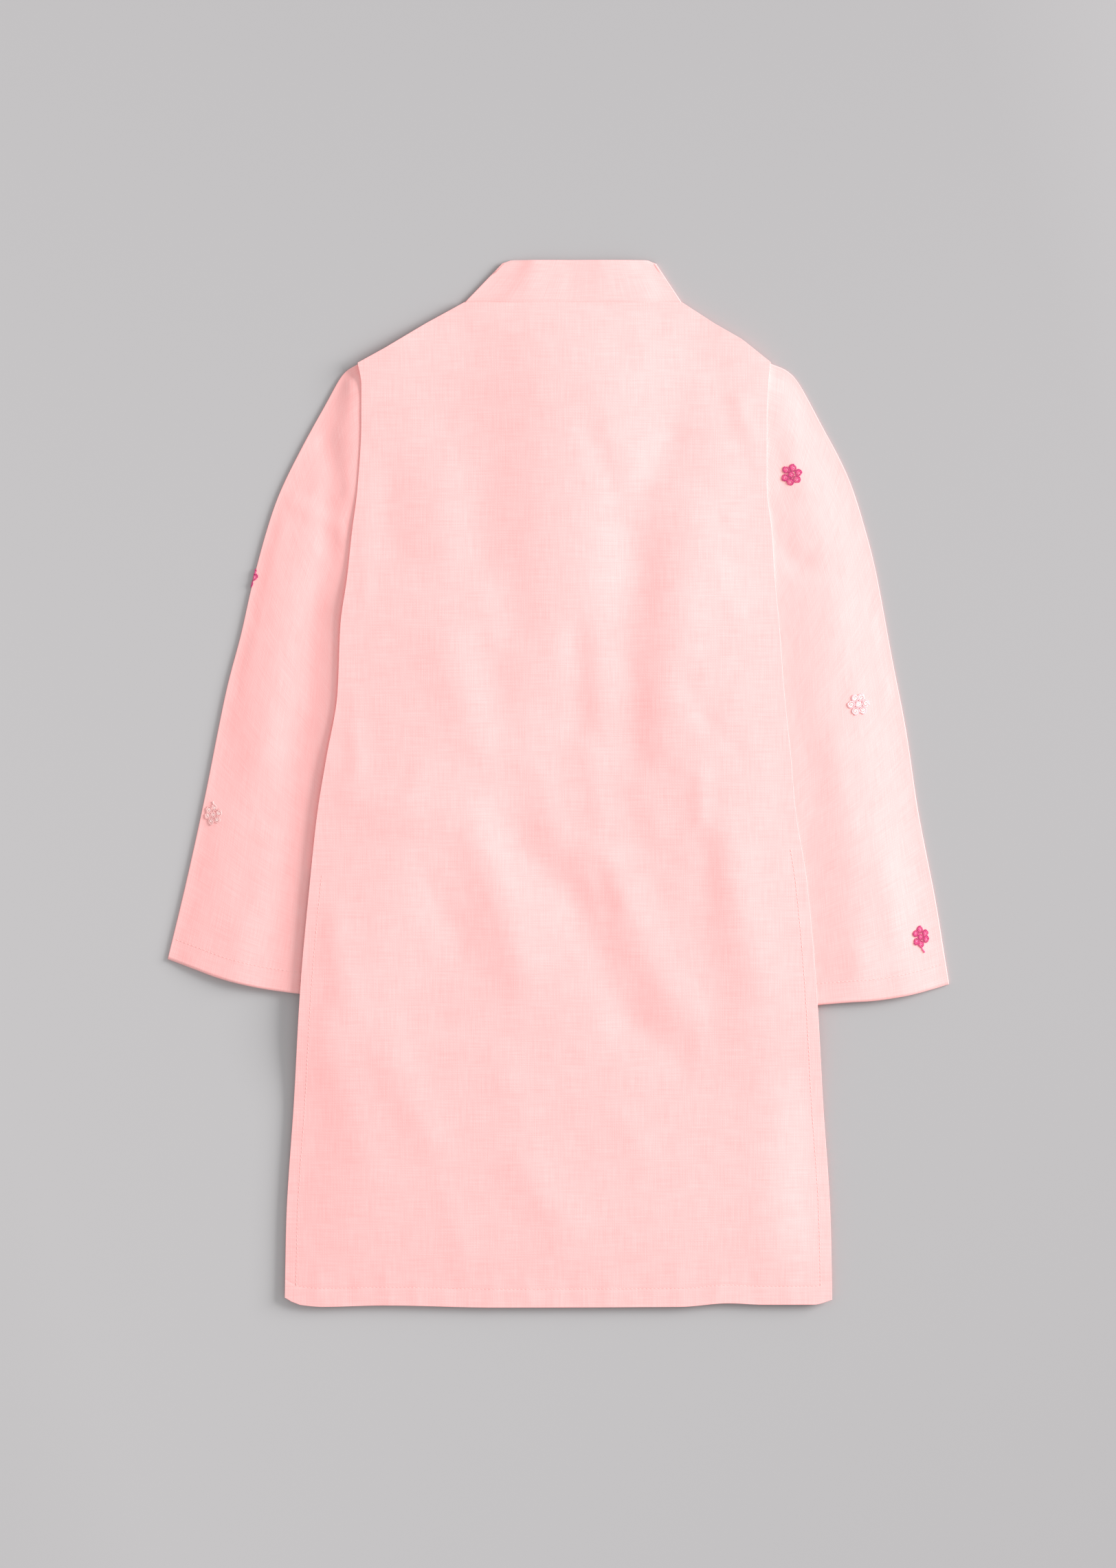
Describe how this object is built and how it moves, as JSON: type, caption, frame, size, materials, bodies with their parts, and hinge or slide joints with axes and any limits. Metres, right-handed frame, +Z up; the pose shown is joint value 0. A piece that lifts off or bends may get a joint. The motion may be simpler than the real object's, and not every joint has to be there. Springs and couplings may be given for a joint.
{
  "type": "child's kurta, laid flat on its front",
  "caption": "Long-sleeved cotton kurta with a stand-up collar band and side slits, laid flat with its back up, small thread flowers on the sleeves.",
  "frame": {"origin": "on the surface that the kurta lies on, under the middle of its whole outline", "axes": "+X towards the wearer's right sleeve, +Y from the hem to the collar, +Z up from the surface through the back panel"},
  "size_m": [0.5461, 0.7321, 0.01],
  "materials": {
    "pink_cotton": "matte plain weave",
    "magenta_thread": "soft lustre of stranded thread",
    "white_thread": "soft lustre of stranded thread",
    "pale_thread": "soft lustre of stranded thread",
    "shell_button": "satin shell look"
  },
  "bodies": {
    "root": {"back_panel": "pink_cotton", "front_panel": "pink_cotton", "sleeve_left": "pink_cotton", "sleeve_right": "pink_cotton", "collar_band": "pink_cotton", "placket": "pink_cotton", "button_1": "shell_button", "button_2": "shell_button", "button_3": "shell_button", "flower_right_1": "magenta_thread", "flower_right_2": "white_thread", "flower_right_3": "magenta_thread", "flower_left": "pale_thread", "flower_left_fold": "magenta_thread"}
  },
  "joints": []
}
